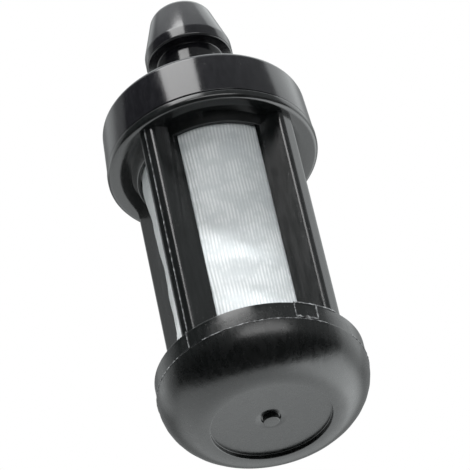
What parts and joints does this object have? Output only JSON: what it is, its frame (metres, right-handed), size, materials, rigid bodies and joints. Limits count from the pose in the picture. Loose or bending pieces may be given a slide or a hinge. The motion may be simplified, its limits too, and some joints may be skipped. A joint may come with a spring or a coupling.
{
  "type": "fuel filter",
  "caption": "In-tank fuel pickup filter: moulded cage with open windows over a pale woven screen, rounded base cup, collar and hose barb.",
  "frame": {"origin": "centre of the flat base, on the filter's axis", "axes": "+Z along the axis, from the base cup towards the hose barb; the cage's windows face +X, -X, +Y and -Y"},
  "size_m": [0.016, 0.016, 0.0391],
  "materials": {
    "cage_plastic": "semi-gloss moulded, black",
    "cap_plastic": "semi-gloss moulded, black",
    "screen_weave": "fine woven monofilament, white",
    "felt": "needled felt, off-white",
    "core_plastic": "natural, unfilled",
    "end_cap_plastic": "natural, unfilled",
    "seal_rubber": "matt",
    "weight_steel": "turned, zinc plated"
  },
  "bodies": {
    "root": {"cage": "cage_plastic", "barb_cap": "cap_plastic", "screen_sleeve": "screen_weave", "core_tube": "core_plastic", "felt_sleeve": "felt", "lower_end_cap": "end_cap_plastic", "upper_end_cap": "end_cap_plastic", "outlet_seal": "seal_rubber", "weight_slug": "weight_steel"}
  },
  "joints": []
}
